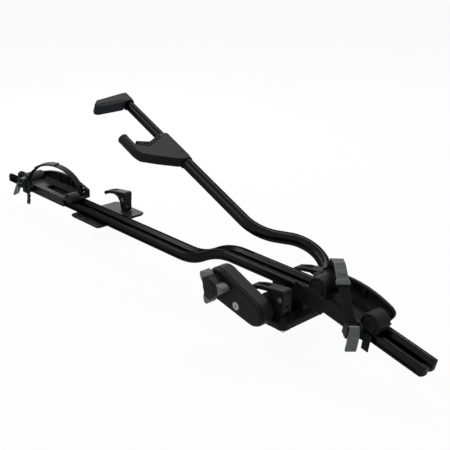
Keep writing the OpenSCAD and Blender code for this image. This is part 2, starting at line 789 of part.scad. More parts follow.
// Straight and bent lengths of a round bar or tube, each with what follows it as a child
module pipe(l, r, wall) {
  rotate([0, 90, 0]) linear_extrude(l) ring_section(r, wall);
  translate([l, 0, 0]) children();
}
module pipe_weld(r, wall) {
  translate([-weld_l / 2, 0, 0]) rotate([0, 90, 0])
    linear_extrude(weld_l) ring_section(r + weld_rise, wall > 0 ? wall + 2 * weld_rise : 0);
}
module pipe_left(bend_r, turn, r, wall) {
  pipe_weld(r, wall);
  translate([0, bend_r, 0]) rotate([0, 0, slit_turn(bend_r) - 90])
    rotate_extrude(angle = turn - 2 * slit_turn(bend_r)) translate([bend_r, 0]) ring_section(r, wall);
  translate([0, bend_r, 0]) rotate([0, 0, turn]) translate([0, -bend_r, 0]) {
    pipe_weld(r, wall);
    children();
  }
}
module pipe_right(bend_r, turn, r, wall) {
  pipe_weld(r, wall);
  translate([0, -bend_r, 0]) rotate([0, 0, 90 - turn + slit_turn(bend_r)])
    rotate_extrude(angle = turn - 2 * slit_turn(bend_r)) translate([bend_r, 0]) ring_section(r, wall);
  translate([0, -bend_r, 0]) rotate([0, 0, -turn]) translate([0, bend_r, 0]) {
    pipe_weld(r, wall);
    children();
  }
}
// The arm's route from a place on the pivot axis to a distance along the arm
module arm_path(lead, reach, r, wall) {
  pipe(lead + pivot_run, r, wall)
    pipe_left(bend_a_r, bend_a_turn, r, wall)
      pipe(bend_gap, r, wall)
        pipe_right(bend_b_r, bend_tilt, r, wall)
          pipe(reach - straight_from, r, wall);
}
module arm_tube() {
  color(satin)
    at_arm() translate([0, -tube_near, 0]) rotate([0, 0, 90])
      arm_path(tube_near, tube_end, tube_od / 2, tube_wall);
}
collar_r = pivot_z - foot_h - 0.5;
module pivot_collar() {
  color(steel)
    at_arm()
      difference() {
        cyl_y(collar_r, barrel_far + 0.5, barrel_far + 6.5);
        cyl_y(tube_od / 2 + run_fit, 0, far);
      }
}
// Cylinder along the arm between two distances from the pivot
module cyl_arm(r, a0, a1) { translate([-a1, arm_y, 0]) rotate([0, 90, 0]) cylinder(r = r, h = a1 - a0); }

// Lower claw: block on the tube's end with an arm out to a round finger
claw_top = tube_end + 6;
claw_low = claw_top - claw_len;
claw_under = 9;
finger_y = arm_y - finger_reach;
finger_z = claw_half - finger_r;
pad_end = arm_y - claw_half - gap;
pad_low = [[18 - claw_top, finger_y + finger_r], [31 - claw_top, arm_y - 65], [12 - claw_top, pad_end]];
pad_high = [[6 - claw_top, finger_y + finger_r], [18 - claw_top, arm_y - 55], [2 - claw_top, pad_end]];
lower_edge = [[-claw_low, arm_y], [-claw_low - 2, arm_y - 20], [-claw_low - 27, arm_y - 66],
  [-claw_low - 48, finger_y],
  [-claw_low - 60, finger_y - 6], [-claw_low - 76, finger_y - finger_r + 1]];
module arm_slab(low, high) { translate([0, 0, -low]) linear_extrude(low + high) children(); }
module lower_claw() {
  color(black)
    at_arm()
      difference() {
        union() {
          arm_slab(claw_under, claw_half - 0.5)
            polygon(concat(lower_edge, [[10 - claw_top, finger_y]], pad_low,
              [[-claw_top, pad_end], [-claw_top, arm_y + 10], [-claw_low - 8, arm_y + 10]]));
          cyl_arm(claw_half, claw_low, claw_top);
          translate([-claw_top - finger_len, finger_y, finger_z]) rotate([0, 90, 0])
            cylinder(r = finger_r - 0.25, h = finger_len + 30);
        }
        cyl_arm(tube_od / 2 + run_fit, claw_low - 1, tube_end);
        cyl_arm(tube_od / 2 - tube_wall + 2.5, tube_end - 1, claw_top + 1);
      }
}
function lerp(a, b, t) = a + (b - a) * t;
truss = 4;
truss_edge = 0.22;
module lower_claw_pad() {
  color(rubber)
    at_arm()
      difference() {
        arm_slab(claw_under - 1, claw_half - 2)
          polygon(concat(pad_low, [pad_high[2], pad_high[1], pad_high[0]]));
        for (leg = [0, 1], i = [0 : truss - 1]) {
          edge = i % 2 == 0 ? truss_edge : 1 - truss_edge;
          low = [for (k = [leg, leg + 1]) lerp(pad_low[k], pad_high[k], edge)];
          high = [for (k = [leg, leg + 1]) lerp(pad_low[k], pad_high[k], 1 - edge)];
          arm_slab(far, far)
            polygon([lerp(low[0], low[1], (i + 0.14) / truss), lerp(low[0], low[1], (i + 0.86) / truss),
              lerp(high[0], high[1], (i + 0.5) / truss)]);
        }
      }
}
module tube_collar() {
  color(black)
    at_arm()
      difference() {
        cyl_arm(tube_od / 2 - tube_wall + 2.5 - run_fit, tube_end, claw_top + 3);
        cyl_arm(tube_od / 2 - tube_wall, tube_end - 1, claw_top + 4);
      }
}

// Jaw: inner tube, upper claw, its pad and the rod that the cable pulls
inner_r = tube_od / 2 - tube_wall - run_fit;
inner_low = tube_end - inner_overlap;
jaw_face = tube_end + jaw_gap;
upper_end = jaw_face + upper_depth;
upper_tip = arm_y - upper_reach;
upper_pad_end = arm_y - claw_half - 1;
castle_n = 9;
castle_pitch = (upper_pad_end - upper_tip - 12) / castle_n;
castle_d = 3;
module castle(grow) {
  for (i = [0 : castle_n - 1])
    translate([-jaw_face - claw_pad_t - 1, upper_tip + 9 + i * castle_pitch - grow])
      square([castle_d + 1 + grow, castle_pitch / 2 + 2 * grow]);
}
module inner_tube() {
  color(satin)
    at_arm()
      difference() {
        cyl_arm(inner_r, inner_low, upper_end - 8);
        cyl_arm(inner_r - inner_wall, inner_low - 1, upper_end);
      }
}
module upper_claw() {
  color(black)
    at_arm()
      difference() {
        union() {
          cyl_arm(claw_half - 1, jaw_face + 3, upper_end);
          arm_slab(claw_under, claw_half)
            union() {
              polygon([[-jaw_face - 3, arm_y + 8], [-jaw_face - 3, upper_pad_end + gap],
                [-jaw_face - claw_pad_t, upper_pad_end + gap], [-jaw_face - claw_pad_t, upper_tip],
                [-jaw_face - claw_pad_t - 4, upper_tip], [10 - upper_end, upper_tip + 12],
                [-upper_end, arm_y - 6], [-upper_end, arm_y + 8]]);
              castle(0);
            }
        }
        cyl_arm(inner_r + run_fit, jaw_face, upper_end - 7.9);
      }
}
module upper_claw_pad() {
  color(rubber)
    at_arm()
      arm_slab(claw_under + 1, claw_half - 0.5)
        difference() {
          polygon([[-jaw_face, upper_pad_end], [-jaw_face, upper_tip + 8], [-jaw_face - 3, upper_tip + 1],
            [-jaw_face - claw_pad_t, upper_tip - 1], [-jaw_face - claw_pad_t, upper_pad_end]]);
          castle(gap);
        }
}
puller_len = 14;
module puller_rod() {
  color(steel)
    at_arm()
      difference() {
        cyl_arm(inner_r - inner_wall - run_fit, inner_low, inner_low + puller_len);
        cyl_arm(cable_d / 2 + 0.5, inner_low - 1, inner_low + puller_len + 1);
      }
}

// Knob housing on the near end of the arm's pivot
hub = [6, -5];
knob_at = [-knob_arm, -knob_drop];
lock_at = [-34, -20];
split = house_far + house_d;
near_face = split + cover_d;
function stadium(c0, r0, c1, r1, grow) =
  let (d = c1 - c0, a = atan2(d[1], d[0]), t = acos((r0 - r1) / norm(d)))
  concat(arc(c0, r0 + grow, a + t, a + 360 - t, 20), arc(c1, r1 + grow, a - t, a + t, 24));
module house_plan(grow) { polygon(stadium(hub, house_hub_r, knob_at, house_knob_r, grow)); }
module at_post(p) { translate([p[0], 0, p[1]]) children(); }
posts = [[-48, 11], [-54, -36], [14, -20]];
post_r = 4.5;
screw_r = 1.9;
screw_head_r = 3.4;
screw_head_h = 1.6;
screw_bite = 4;
cable_y = house_far + 12.5;
drum_r = knob_drop - cable_d / 2 - 0.2;
spool_half = 6.5;
flange_t = 2;
cable_turn_r = cable_y - tube_near - 1;
cover_bevel = 3.5;
module knob_housing() {
  color(black)
    at_arm()
      difference() {
        union() {
          difference() {
            along_y(-house_far, house_d) house_plan(0);
            along_y(-house_far - house_wall, house_d) house_plan(-house_wall);
          }
          at_post(knob_at) cyl_y(knob_shaft_r + 3, -cable_y + spool_half + 0.5, -house_far - 1);
          for (p = posts) at_post(p) cyl_y(post_r, -split, -house_far - 1);
        }
        cyl_y(tube_od / 2 + run_fit, -tube_near - 1, 0);
        at_post(knob_at) cyl_y(knob_shaft_r + run_fit, -split, -house_far - 1);
        for (p = posts)
          at_post(p) {
            cyl_y(screw_r + run_fit, -split - 1, 0);
            cyl_y(screw_head_r + gap, -house_far - screw_head_h - 0.5, 0);
          }
      }
}
// Spacer on the tube between the housing and the foot's barrel
module hub_spacer() {
  color(black)
    at_arm()
      difference() {
        cyl_y(sleeve_r, gap - house_far, -barrel_near - 0.5);
        cyl_y(tube_od / 2 + run_fit, -house_far, 0);
      }
}
module housing_cover() {
  color(black)
    at_arm()
      difference() {
        union() {
          difference() {
            hull() {
              along_y(-split, cover_d - 4) house_plan(0);
              along_y(-split, cover_d) house_plan(-cover_bevel);
            }
            along_y(1 - split, cover_d - house_wall + 1) house_plan(-house_wall - 2.5);
          }
          at_post(lock_at) cyl_y(lock_r + 2.5, 1 - near_face, 5 - split);
          for (p = posts) at_post(p) cyl_y(post_r, 1 - near_face, -split);
        }
        at_post(knob_at) cyl_y(knob_shaft_r + run_fit, -far, 0);
        at_post(lock_at) cyl_y(lock_r + run_fit, -far, 0);
        for (p = posts) at_post(p) cyl_y(screw_r + run_fit, -split - screw_bite, 0);
      }
}
module cover_screws() {
  color(steel)
    at_arm()
      for (p = posts)
        at_post(p) {
          cyl_y(screw_r, gap - split - screw_bite, -house_far - 0.5);
          cyl_y(screw_head_r, -house_far - screw_head_h - 0.5, -house_far - 0.5);
        }
}
module arm_lock_core() {
  color(steel)
    at_arm() at_post(lock_at)
      difference() {
        cyl_y(lock_r, -near_face - 0.8, 5 - split);
        box([-0.8, 0.8], [-near_face - 2, 3 - near_face], [-4, 4]);
      }
}
// Knob, shaft, torque clutch and the spool that winds the cable
knob_back = near_face + 0.6;
core_r = 25;
lobe_n = 3;
lobe_from = 36;
module lobes() {
  circle(core_r - 4);
  for (i = [0 : lobe_n - 1])
    rotate(i * 360 / lobe_n + lobe_from) {
      translate([lobe_reach, 0]) circle(lobe_r);
      polygon([[0, -lobe_r - 6], [lobe_reach, -lobe_r], [lobe_reach, lobe_r], [0, lobe_r + 6]]);
    }
}
module at_knob() { at_arm() at_post(knob_at) children(); }
shaft_tip = knob_back + knob_d - 4;
module knob_core() {
  color(black)
    at_knob()
      difference() {
        union() {
          along_y(-knob_back, knob_d)
            intersection() {
              lobes();
              circle(core_r);
            }
          along_y(-knob_back, knob_d + 4) circle(core_r - 9);
        }
        cyl_y(knob_shaft_r + run_fit, -shaft_tip, 0);
      }
}
module knob_tips() {
  color(grey)
    at_knob()
      along_y(-knob_back - 2, knob_d - 4)
        difference() {
          lobes();
          circle(core_r + run_fit);
        }
}
module knob_shaft() { color(steel) at_knob() cyl_y(knob_shaft_r, gap - shaft_tip, -house_far - 1.5); }
clutch_teeth = 12;
clutch_r = 14;
module clutch_plate() {
  color(steel)
    at_knob()
      along_y(-cable_y - spool_half - 0.4, 3)
        difference() {
          union() {
            circle(clutch_r);
            for (i = [0 : clutch_teeth - 1])
              rotate(i * 360 / clutch_teeth)
                polygon([[clutch_r - 1, -2.4], [clutch_r + 3, -0.8], [clutch_r + 3, 0.8],
                  [clutch_r - 1, 2.4]]);
          }
          circle(knob_shaft_r + run_fit);
        }
}
module cable_spool() {
  color(steel)
    at_knob()
      difference() {
        union() {
          cyl_y(drum_r, -cable_y - spool_half, -cable_y + spool_half);
          for (y = [-cable_y - spool_half, spool_half - cable_y - flange_t])
            cyl_y(drum_r + 5, y, y + flange_t);
        }
        cyl_y(knob_shaft_r + run_fit, -far, far);
      }
}
// Cable from the spool, round a turn at the pivot and up inside the arm tube
module drive_cable() {
  color(steel)
    at_arm() translate([-knob_arm, -cable_y, 0])
      pipe(knob_arm - cable_turn_r, cable_d / 2, 0)
        pipe_left(cable_turn_r, 90, cable_d / 2, 0)
          arm_path(cable_y - cable_turn_r, inner_low + puller_len - 4, cable_d / 2, 0);
}

// Clamp lever drawn about its pin: a cam end, a fork for the eye bolt and a finger beak
lever_shape = [[-84, 22], [-77, 18], [-58, 26], [-36, 29.5], [-21, 26], [-11, 13], [-9, 0], [9, 0],
  [9, 14], [12, 40], [8, 44], [-52, 36], [-79, 28]];
lever_end_r = 9;
fork = eye_t / 2 + 0.3;
fork_r = lever_end_r + 0.6;
finger_hole = [-61, -41];
finger_hole_r = 5;
lever_lock_z = 22;
lock_d = 8;
bolt_eye_r = 8;
module clamp_lever() {
  color(black)
    difference() {
      union() {
        across(lever_w) polygon(lever_shape);
        cyl_y(lever_end_r, -lever_w / 2, lever_w / 2);
        translate([0, 0, -cam_offset]) cyl_y(cam_r, -lever_w / 2, lever_w / 2);
      }
      box([-fork_r, far], [-fork, fork], [-far, fork_r]);
      cyl_y(lever_pin_r + run_fit, -far, far);
      linear_extrude(far) {
        for (x = finger_hole) translate([x, 0]) circle(finger_hole_r);
        translate([finger_hole[0], -finger_hole_r])
          square([finger_hole[1] - finger_hole[0], 2 * finger_hole_r]);
      }
      translate([0, 0, lever_lock_z]) cyl_y(lever_lock_r + run_fit, -far, lock_d - lever_w / 2);
    }
}
module lever_lock() {
  color(steel)
    translate([0, 0, lever_lock_z])
      difference() {
        cyl_y(lever_lock_r, 0.4 - lever_w / 2, lock_d - lever_w / 2 - gap);
        box([-0.7, 0.7], [-lever_w, 4 - lever_w / 2], [-2.5, 2.5]);
      }
}
module eye_bolt(z_pin) {
  color(steel)
    difference() {
      union() {
        cyl_y(bolt_eye_r, -eye_t / 2, eye_t / 2);
        translate([0, 0, shank_end - z_pin]) cylinder(r = shank_r - 0.05, h = z_pin - shank_end - 5);
      }
      cyl_y(lever_pin_r + run_fit, -far, far);
    }
}
module lever_pin() { color(steel) cyl_y(lever_pin_r, gap - lever_w / 2, lever_w / 2 - gap); }
module t_nut(z_pin) {
  color(steel)
    translate([0, 0, shank_end - z_pin])
      difference() {
        translate([-tnut_w / 2, -tnut_w / 2, 0]) cube([tnut_w, tnut_w, tnut_t]);
        translate([0, 0, -1]) cylinder(r = shank_r + run_fit, h = tnut_t + 2);
      }
}
rear_lever_x = 23;
module at_near_lever() { translate([lever_x, -lever_near_y, lever_z]) children(); }
module at_far_lever() { translate([lever_x, lever_far_y, lever_z]) children(); }
module at_rear_lever() { translate([rear_lever_x - rear_foot_x, rear_lever_y, rear_lever_z]) children(); }
module near_lever() { at_near_lever() clamp_lever(); }
module near_lever_lock() { at_near_lever() lever_lock(); }
module near_eye_bolt() { at_near_lever() eye_bolt(lever_z); }
module near_lever_pin() { at_near_lever() lever_pin(); }
module near_t_nut() { at_near_lever() t_nut(lever_z); }
module far_lever() { at_far_lever() mirror([0, 1, 0]) clamp_lever(); }
module far_lever_lock() { at_far_lever() mirror([0, 1, 0]) lever_lock(); }
module far_eye_bolt() { at_far_lever() eye_bolt(lever_z); }
module far_lever_pin() { at_far_lever() lever_pin(); }
module far_t_nut() { at_far_lever() t_nut(lever_z); }
module rear_lever() { at_rear_lever() clamp_lever(); }
module rear_lever_lock() { at_rear_lever() lever_lock(); }
module rear_eye_bolt() { at_rear_lever() eye_bolt(rear_lever_z); }
module rear_lever_pin() { at_rear_lever() lever_pin(); }
module rear_t_nut() { at_rear_lever() t_nut(rear_lever_z); }

// Rear foot: plate under the rail that slides on a T slot plate
rear_corner = 12;
rear_slots = [[-38, -20], [0, 34]];
rear_slot_w = 7;
rear_slot_y = -34;
comb_n = 14;
comb_pitch = 7;
comb_w = 3;
slider_bolts = [-16, 16];
slider_len = 60;
boss_r = 9;
boss_top = rail_rear_z - gap;
slider_head_z = pad_t + 0.4;
slider_head_h = 2.6;
module at_rear_foot() { translate([-rear_foot_x, 0, 0]) children(); }
module rear_plan(inset) {
  block_plan(rear_foot_len - 2 * inset, inset - rear_foot_near, rear_foot_far - inset, rear_corner - inset);
}
module slot_plan(ends) {
  translate([ends[0], rear_slot_y - rear_slot_w / 2]) square([ends[1] - ends[0], rear_slot_w]);
  for (x = ends) translate([x, rear_slot_y]) circle(rear_slot_w / 2);
}
module rear_openings(head_r) {
  for (ends = rear_slots) translate([0, 0, -1]) linear_extrude(far) slot_plan(ends);
  for (x = slider_bolts) translate([x, 0, -1]) cylinder(r = head_r, h = slider_head_z + slider_head_h + 1);
}
module rear_foot() {
  color(black)
    at_rear_foot()
      difference() {
        union() {
          translate([0, 0, pad_t]) linear_extrude(rear_plate_z - pad_t) rear_plan(0);
          lever_seat(rear_lever_x, rear_lever_y, rear_lever_z, rear_plate_z);
          for (x = slider_bolts) translate([x, 0, pad_t]) cylinder(r = boss_r, h = boss_top - pad_t);
        }
        rear_openings(bolt_head_r + gap);
        for (i = [0 : comb_n - 1])
          translate([(i - (comb_n - 1) / 2) * comb_pitch - comb_w / 2, -rear_foot_near - 1, pad_t - 1])
            cube([comb_w, 4, far]);
        translate([rear_lever_x, rear_lever_y, 0]) cylinder(r = shank_r + run_fit, h = far);
        for (x = slider_bolts) translate([x, 0, 0]) cylinder(r = rail_bolt_r + run_fit, h = far);
      }
}
module rear_foot_pad() {
  color(rubber)
    at_rear_foot()
      difference() {
        linear_extrude(pad_t) rear_plan(4);
        rear_openings(bolt_head_r + 1);
        translate([rear_lever_x, rear_lever_y, -1]) cylinder(r = shank_r + 1, h = far);
      }
}
module rear_slider() { at_rear() at_rear_foot() slot_plate(slider_len, slider_bolts); }
module rear_slider_screws() {
  color(steel)
    at_rear_foot()
      for (x = slider_bolts)
        translate([x, 0, slider_head_z]) {
          cylinder(r = bolt_head_r, h = slider_head_h);
          cylinder(r = rail_bolt_r, h = rail_rear_z + slot_plate_top - slider_head_z);
        }
}

rail();
front_end_cap();
rear_end_cap();
front_foot();
front_foot_pad();
pivot_bushes();
rail_nut_plate();
rail_bolts();
front_wheel_holder();
front_holder_screws();
front_strap();
front_strap_pad();
front_buckle();
front_strap_pins();
front_buckle_lever();
arm_tube();
pivot_collar();
knob_housing();
hub_spacer();
housing_cover();
cover_screws();
lower_claw();
lower_claw_pad();
tube_collar();
drive_cable();
arm_lock_core();
knob_core();
knob_tips();
knob_shaft();
clutch_plate();
cable_spool();
inner_tube();
upper_claw();
upper_claw_pad();
puller_rod();
near_lever();
near_lever_lock();
near_eye_bolt();
near_lever_pin();
near_t_nut();
far_lever();
far_lever_lock();
far_eye_bolt();
far_lever_pin();
far_t_nut();
rear_foot();
rear_foot_pad();
rear_slider();
rear_slider_screws();
rear_lever();
rear_lever_lock();
rear_eye_bolt();
rear_lever_pin();
rear_t_nut();
rear_wheel_holder();
rear_strap();
rear_strap_pad();
rear_buckle();
rear_strap_pins();
rear_buckle_lever();
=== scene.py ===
import math

import bpy
from mathutils import Matrix, Vector


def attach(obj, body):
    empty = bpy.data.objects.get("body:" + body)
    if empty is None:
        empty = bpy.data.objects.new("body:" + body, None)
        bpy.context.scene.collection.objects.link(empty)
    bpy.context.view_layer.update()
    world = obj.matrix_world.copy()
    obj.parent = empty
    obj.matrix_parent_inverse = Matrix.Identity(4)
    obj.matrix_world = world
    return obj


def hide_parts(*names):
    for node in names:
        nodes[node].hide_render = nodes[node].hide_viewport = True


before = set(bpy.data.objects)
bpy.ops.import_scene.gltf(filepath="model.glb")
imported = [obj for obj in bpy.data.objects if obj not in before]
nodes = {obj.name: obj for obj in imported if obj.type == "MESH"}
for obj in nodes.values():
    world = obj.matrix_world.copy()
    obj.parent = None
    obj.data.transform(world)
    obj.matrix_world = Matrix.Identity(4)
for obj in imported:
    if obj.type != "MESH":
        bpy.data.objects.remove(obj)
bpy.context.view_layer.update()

# Studio: the photograph's camera above the near front corner, five soft boxes and a white room.
# The floor is painted board that keeps a faint shadow below the carrier.
CAMERA_AT = (0.9902, -1.1034, 0.7595)
CAMERA_DOWN, CAMERA_TURN = 21.327, 47.345
LENS_MM, SENSOR_MM, FAR_CLIP = 64.77, 36, 20
studio = bpy.context.scene
studio.view_settings.view_transform = "Standard"
lens = bpy.data.cameras.new("camera")
lens.sensor_width = SENSOR_MM
lens.lens = LENS_MM
lens.clip_end = FAR_CLIP
camera = bpy.data.objects.new("camera", lens)
camera.location = CAMERA_AT
camera.rotation_euler = (math.radians(90 - CAMERA_DOWN), 0, math.radians(CAMERA_TURN))
studio.collection.objects.link(camera)
studio.camera = camera


def soft_box(name, place, aim, size, power):
    """A flat lamp in metres and watts that faces a point."""
    lamp = bpy.data.lights.new(name, "AREA")
    lamp.shape = "RECTANGLE"
    lamp.size, lamp.size_y = size
    lamp.energy = power
    holder = bpy.data.objects.new(name, lamp)
    holder.location = place
    holder.rotation_euler = (Vector(aim) - Vector(place)).to_track_quat("-Z", "Y").to_euler()
    studio.collection.objects.link(holder)


soft_box("top_box", (-0.85, 1.15, 2.1), (-0.4, 0, 0.1), (2.8, 0.16), 42)
soft_box("back_box", (1.5, 1.3, 1.5), (0, 0, 0.1), (1.2, 0.4), 7)
soft_box("rear_box", (-2.15, 1.1, 0.85), (-0.6, 0, 0.05), (0.9, 0.6), 9)
soft_box("near_box", (-1.4, -0.8, 1.5), (-0.3, 0, 0.05), (2.6, 0.45), 22)
soft_box("side_box", (1.6, -2.0, 1.2), (0, 0, 0.1), (0.9, 0.7), 2.5)


class Shade:
    """A value, colour or vector in a node tree. Arithmetic on values adds Math nodes."""

    def __init__(self, tree, socket=None):
        self.tree, self.socket = tree, socket

    def node(self, kind, settings=None, values=None, out=0):
        """Adds a node: its settings first, then the values or links of its sockets."""
        made = self.tree.nodes.new("ShaderNode" + kind)
        for key, value in (settings or {}).items():
            setattr(made, key, value)
        for key, value in (values or {}).items():
            if isinstance(value, Shade):
                self.tree.links.new(value.socket, made.inputs[key])
            else:
                made.inputs[key].default_value = value
        return Shade(self.tree, made.outputs[out] if made.outputs else None)

    def maths(self, operation, first, second):
        return self.node("Math", {"operation": operation}, {0: first, 1: second})

    def __add__(self, other):
        return self.maths("ADD", self, other)

    def __sub__(self, other):
        return self.maths("SUBTRACT", self, other)

    def __rsub__(self, other):
        return self.maths("SUBTRACT", other, self)

    def __mul__(self, other):
        return self.maths("MULTIPLY", self, other)

    __radd__, __rmul__ = __add__, __mul__


def background_rays(shade):
    """1 on the rays that show the backdrop plain: to the camera, in gloss and through glass."""
    path = shade.node("LightPath").socket.node.outputs
    return (Shade(shade.tree, path["Is Camera Ray"]) + Shade(shade.tree, path["Is Glossy Ray"])
            + Shade(shade.tree, path["Is Transmission Ray"]))


WHITE, ROOM_LIGHT = (1, 1, 1, 1), 0.1
room = bpy.data.worlds.new("room")
studio.world = room
room.use_nodes = True
room.node_tree.nodes.clear()
air = Shade(room.node_tree)
light = air.node("Background", None, {"Color": (0.95, 0.97, 1, 1), "Strength": ROOM_LIGHT})
white = air.node("Background", None, {"Color": WHITE, "Strength": 1})
sky = air.node("MixShader", None, {0: background_rays(air), 1: light, 2: white})
air.node("OutputWorld", None, {"Surface": sky})

FLOOR_SIZE, FLOOR_Z = 14, -0.06
FLOOR_GLOW = 0.95
bpy.ops.object.select_all(action="DESELECT")
bpy.ops.mesh.primitive_plane_add(size=FLOOR_SIZE, location=(0, 0, 0))
floor = bpy.context.object
floor.name = "floor"
floor.data.transform(Matrix.Translation((0, 0, FLOOR_Z)))
board = bpy.data.materials.new("white_board")
board.use_nodes = True
board.node_tree.nodes.clear()
paint = Shade(board.node_tree)
grit = paint.node("TexNoise", None, {"Scale": 60.0})
matt = paint.node("BsdfDiffuse", None, {"Color": (0.86, 0.86, 0.86, 1),
                                        "Roughness": grit * 0.2 + 0.5})
glow = paint.node("Emission", None, {"Color": WHITE, "Strength": 1})
coat = paint.node("MixShader", None, {0: background_rays(paint) * FLOOR_GLOW, 1: matt, 2: glow})
paint.node("OutputMaterial", None, {"Surface": coat})
floor.data.materials.append(board)

# Rail: one aluminium extrusion with two ridges, drawn, bent in a press and black anodised. The
# die leaves fine lines along its length. Moulded caps close its ends and bolts hold it below.
BUMP_DEPTH, EDGE_R = 0.0004, 0.0016


def finish(name, colour, metal, specular):
    """A new material with its constants set. Returns it with a shade to build on."""
    made = bpy.data.materials.new(name)
    made.use_nodes = True
    shader = made.node_tree.nodes["Principled BSDF"]
    shader.inputs["Base Color"].default_value = (*colour, 1)
    shader.inputs["Metallic"].default_value = metal
    shader.inputs["Specular IOR Level"].default_value = specular
    return made, Shade(made.node_tree)


def feed(made, colour, rough, height=None, depth=0.0):
    """Links shades to a material: its colour, its roughness and the height of its surface."""
    tree = made.node_tree
    sockets = tree.nodes["Principled BSDF"].inputs
    tree.links.new(colour.socket, sockets["Base Color"])
    tree.links.new(rough.socket, sockets["Roughness"])
    if height:
        bump = height.node("Bump", None, {"Strength": depth, "Distance": BUMP_DEPTH,
                                          "Height": height})
        tree.links.new(bump.socket, sockets["Normal"])


def tint(colour, amount):
    """A colour made darker or paler."""
    return (*[c * amount for c in colour], 1)


def anodised(name, colour, stretch, edge):
    """Black anodised aluminium. The dye keeps its edges dark, and drawing leaves fine lines."""
    made, shade = finish(name, colour, 1.0, 0.5)
    sockets = made.node_tree.nodes["Principled BSDF"].inputs
    sockets["Specular Tint"].default_value = (edge, edge, edge, 1)
    place = shade.node("TexCoord", None, None, "Object")
    drawn = shade.node("Mapping", None, {"Vector": place, "Scale": stretch})
    lines = shade.node("TexNoise", None, {"Vector": drawn, "Scale": 1.0, "Detail": 4.0})
    cloud = shade.node("TexNoise", None, {"Vector": place, "Scale": 9.0, "Detail": 2.0})
    tone = shade.node("MixRGB", None, {0: lines * 0.4 + cloud * 0.6,
                                       1: tint(colour, 0.93), 2: tint(colour, 1.08)})
    feed(made, tone, cloud * 0.06 + 0.22)
    return made


def wear(material, *names):
    """Gives CAD nodes that stay in view their finish."""
    for name in names:
        mesh = nodes[name].data
        mesh.materials.clear()
        mesh.materials.append(material)


rail_black = anodised("rail_black", (0.0125, 0.0125, 0.0131), (6, 500, 500), 0.42)
wear(rail_black, "rail")


def moulded_finish(name, colour, rough, edge_highlight, grain=1400.0, depth=0.03, specular=0.04):
    """Moulded plastic or rubber: fine spark grain, soft patches of gloss and edges made paler by a
    painted highlight.
    """
    made, shade = finish(name, colour, 0.0, specular)
    place = shade.node("TexCoord", None, None, "Object")
    pits = shade.node("TexNoise", None, {"Vector": place, "Scale": grain, "Detail": 2.0})
    cloud = shade.node("TexNoise", None, {"Vector": place, "Scale": 22.0, "Detail": 3.0})
    facing = shade.node("NewGeometry", None, None, "Normal")
    rounded = shade.node("Bevel", {"samples": 4}, {"Radius": EDGE_R})
    level = shade.node("VectorMath", {"operation": "DOT_PRODUCT"}, {0: facing, 1: rounded}, "Value")
    # Painted highlight: where the rounded normal turns away from the face's own normal, the colour
    # is mixed toward a paler one.
    edge = shade.node("Math", {"operation": "MULTIPLY", "use_clamp": True}, {0: 1 - level, 1: 6.0})
    tone = shade.node("MixRGB", None, {0: cloud * 0.35 + pits * 0.15,
                                       1: tint(colour, 0.72), 2: tint(colour, 1.4)})
    highlighted_tone = shade.node("MixRGB", None, {0: edge * 0.8, 1: tone, 2: (*edge_highlight, 1)})
    feed(made, highlighted_tone, cloud * 0.14 + pits * 0.08 + rough - 0.1, pits, depth)
    return made


black_plastic = moulded_finish("black_plastic", (0.0125, 0.0125, 0.013), 0.42,
                               (0.04, 0.04, 0.042), specular=0.06)


def plated(name, colour, rough):
    """Plated steel with a fine grain and soft clouds in its tone."""
    made, shade = finish(name, colour, 1.0, 0.5)
    place = shade.node("TexCoord", None, None, "Object")
    grain = shade.node("TexNoise", None, {"Vector": place, "Scale": 500.0, "Detail": 4.0})
    cloud = shade.node("TexNoise", None, {"Vector": place, "Scale": 40.0, "Detail": 2.0})
    tone = shade.node("MixRGB", None, {0: cloud, 1: tint(colour, 0.8), 2: (*colour, 1)})
    feed(made, tone, grain * 0.15 + cloud * 0.1 + rough, grain, 0.05)
    return made


zinc = plated("zinc", (0.42, 0.43, 0.44), 0.25)
wear(zinc, "rail_nut_plate", "rail_bolts")


def pick(piece):
    """Selects one piece alone and makes it the active one."""
    bpy.ops.object.select_all(action="DESELECT")
    piece.select_set(True)
    bpy.context.view_layer.objects.active = piece


def apply(piece, kind, **settings):
    """Adds a modifier with its settings and applies it."""
    pick(piece)
    modifier = piece.modifiers.new(kind.lower(), kind)
    for key, value in settings.items():
        setattr(modifier, key, value)
    bpy.ops.object.modifier_apply(modifier=modifier.name)


MERGE = 0.000002


def solid_copy(node, name):
    """A copy of a CAD node with its loose triangles merged, to be worked on."""
    piece = bpy.data.objects.new(name, nodes[node].data.copy())
    studio.collection.objects.link(piece)
    piece.data.materials.clear()
    pick(piece)
    bpy.ops.object.mode_set(mode="EDIT")
    bpy.ops.mesh.select_all(action="SELECT")
    bpy.ops.mesh.remove_doubles(threshold=MERGE)
    bpy.ops.object.mode_set(mode="OBJECT")
    bpy.ops.mesh.customdata_custom_splitnormals_clear()
    return piece


def soften(piece, voxel, passes=4, keep=0.5):
    """Fuses what was joined and rounds edges and inner corners, as a moulding tool does."""
    apply(piece, "REMESH", mode="VOXEL", voxel_size=voxel, use_smooth_shade=True)
    apply(piece, "SMOOTH", factor=0.5, iterations=passes)
    apply(piece, "DECIMATE", ratio=keep)
    pick(piece)
    bpy.ops.object.shade_smooth()


def done(piece, body, slot, material, *replaced):
    """Finishes a piece: its material, the body it rides on and the nodes it stands for."""
    piece.data.materials.clear()
    piece.data.materials.append(material)
    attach(piece, body)
    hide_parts(*replaced)


MM = Matrix.Scale(0.001, 4)


def moulded(node, body, slot, material, voxel, passes=4, keep=0.5, work=None, place=Matrix()):
    """A CAD node made again as a moulding, worked on in millimetres in its own frame."""
    piece = solid_copy(node, node + "_moulding")
    piece.data.transform((place @ MM).inverted())
    if work:
        work(piece)
    soften(piece, voxel, passes, keep)
    piece.data.transform(place @ MM)
    done(piece, body, slot, material, node)


for cap in ("front_end_cap", "rear_end_cap"):
    moulded(cap, "root", "black_plastic", black_plastic, voxel=0.7, passes=6)

